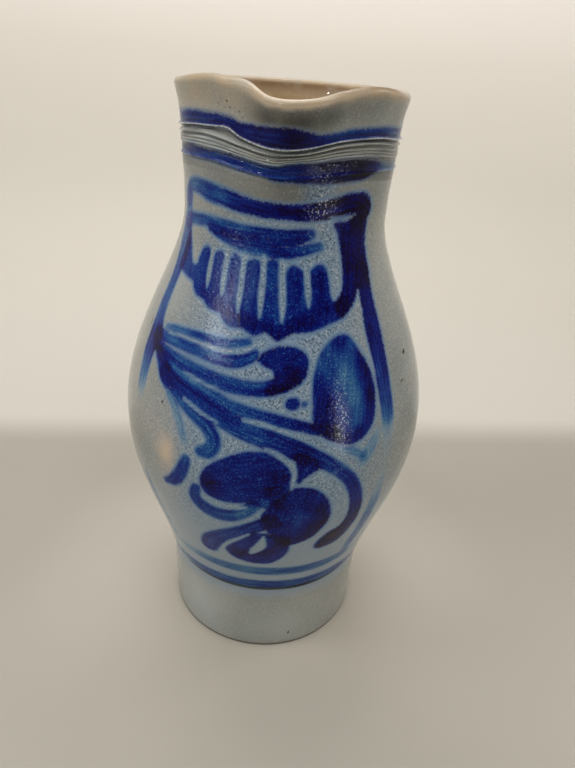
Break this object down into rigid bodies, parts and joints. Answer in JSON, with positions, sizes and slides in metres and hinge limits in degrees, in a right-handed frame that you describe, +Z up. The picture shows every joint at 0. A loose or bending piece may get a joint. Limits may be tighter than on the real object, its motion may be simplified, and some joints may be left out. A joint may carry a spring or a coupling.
{
  "type": "stoneware jug",
  "caption": "Salt-glazed stoneware jug with a round belly, waisted neck, pulled spout and strap handle, for holding and pouring drink.",
  "frame": {"origin": "centre of the flat underside of the foot, on the surface that the jug stands on", "axes": "+Z up along the axis of the thrown body, -Y towards the spout, +Y towards the handle"},
  "size_m": [0.1562, 0.1736, 0.2919],
  "materials": {
    "salt_glazed_stoneware": "salt glaze with a fine orange-peel surface and brushed cobalt decoration"
  },
  "bodies": {
    "root": {"thrown_body": "salt_glazed_stoneware", "strap_handle": "salt_glazed_stoneware", "upper_joint_clay": "salt_glazed_stoneware", "lower_joint_clay": "salt_glazed_stoneware"}
  },
  "joints": []
}
